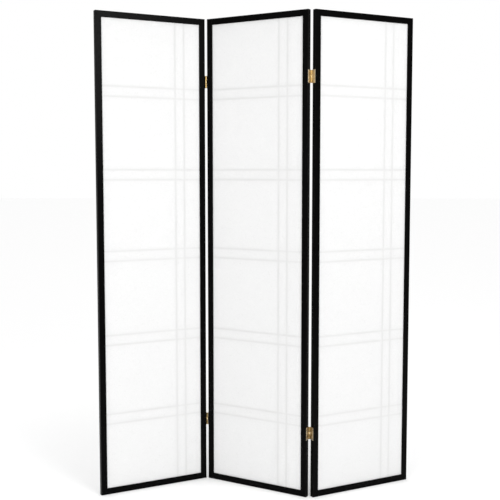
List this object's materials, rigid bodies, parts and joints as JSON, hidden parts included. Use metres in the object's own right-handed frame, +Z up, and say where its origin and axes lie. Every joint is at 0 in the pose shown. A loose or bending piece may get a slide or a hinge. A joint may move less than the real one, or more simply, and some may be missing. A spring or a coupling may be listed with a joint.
{
  "type": "folding screen",
  "caption": "Free-standing folding screen: black wooden frames filled with white paper over a double-cross lattice, joined edge to edge by small brass butt hinges.",
  "frame": {"origin": "on the floor, under the centre of the middle panel", "axes": "+Z up, +X along the run of the screen from the left panel to the right one as its back is seen, +Y towards the front, which is the lattice side of the paper"},
  "size_m": [1.1732, 0.2272, 1.784],
  "materials": {
    "frame_lacquer": "satin black lacquer",
    "lattice_lacquer": "satin black lacquer",
    "paper": "matt white fibrous screen paper",
    "hinge_brass": "lacquered yellow brass",
    "screw_brass": "polished yellow brass"
  },
  "bodies": {
    "middle_panel": {"middle_panel_left_stile": "frame_lacquer", "middle_panel_right_stile": "frame_lacquer", "middle_panel_bottom_rail": "frame_lacquer", "middle_panel_top_rail": "frame_lacquer", "middle_panel_paper": "paper", "middle_panel_left_upright": "lattice_lacquer", "middle_panel_right_upright": "lattice_lacquer", "middle_panel_cross_pair_1": "lattice_lacquer", "middle_panel_cross_pair_2": "lattice_lacquer", "middle_panel_cross_pair_3": "lattice_lacquer", "middle_panel_cross_pair_4": "lattice_lacquer", "middle_panel_cross_pair_5": "lattice_lacquer", "left_lower_hinge_middle_leaf": "hinge_brass", "left_lower_hinge_middle_screws": "screw_brass", "left_upper_hinge_middle_leaf": "hinge_brass", "left_upper_hinge_middle_screws": "screw_brass", "right_lower_hinge_middle_leaf": "hinge_brass", "right_lower_hinge_middle_screws": "screw_brass", "right_upper_hinge_middle_leaf": "hinge_brass", "right_upper_hinge_middle_screws": "screw_brass"},
    "left_panel": {"left_panel_left_stile": "frame_lacquer", "left_panel_right_stile": "frame_lacquer", "left_panel_bottom_rail": "frame_lacquer", "left_panel_top_rail": "frame_lacquer", "left_panel_paper": "paper", "left_panel_left_upright": "lattice_lacquer", "left_panel_right_upright": "lattice_lacquer", "left_panel_cross_pair_1": "lattice_lacquer", "left_panel_cross_pair_2": "lattice_lacquer", "left_panel_cross_pair_3": "lattice_lacquer", "left_panel_cross_pair_4": "lattice_lacquer", "left_panel_cross_pair_5": "lattice_lacquer", "left_lower_hinge_side_leaf": "hinge_brass", "left_lower_hinge_pin": "screw_brass", "left_lower_hinge_side_screws": "screw_brass", "left_upper_hinge_side_leaf": "hinge_brass", "left_upper_hinge_pin": "screw_brass", "left_upper_hinge_side_screws": "screw_brass"},
    "right_panel": {"right_panel_left_stile": "frame_lacquer", "right_panel_right_stile": "frame_lacquer", "right_panel_bottom_rail": "frame_lacquer", "right_panel_top_rail": "frame_lacquer", "right_panel_paper": "paper", "right_panel_left_upright": "lattice_lacquer", "right_panel_right_upright": "lattice_lacquer", "right_panel_cross_pair_1": "lattice_lacquer", "right_panel_cross_pair_2": "lattice_lacquer", "right_panel_cross_pair_3": "lattice_lacquer", "right_panel_cross_pair_4": "lattice_lacquer", "right_panel_cross_pair_5": "lattice_lacquer", "right_lower_hinge_side_leaf": "hinge_brass", "right_lower_hinge_pin": "screw_brass", "right_lower_hinge_side_screws": "screw_brass", "right_upper_hinge_side_leaf": "hinge_brass", "right_upper_hinge_pin": "screw_brass", "right_upper_hinge_side_screws": "screw_brass"}
  },
  "joints": [
    {"name": "left_fold", "type": "hinge", "parent": "middle_panel", "child": "left_panel", "pos_m": [-0.19698, 0.09594, 0.892], "axis": [0, 0, 1], "range_deg": [-58.4, 121.6]},
    {"name": "right_fold", "type": "hinge", "parent": "middle_panel", "child": "right_panel", "pos_m": [0.19698, -0.09594, 0.892], "axis": [0, 0, 1], "range_deg": [-58.4, 121.6]}
  ]
}
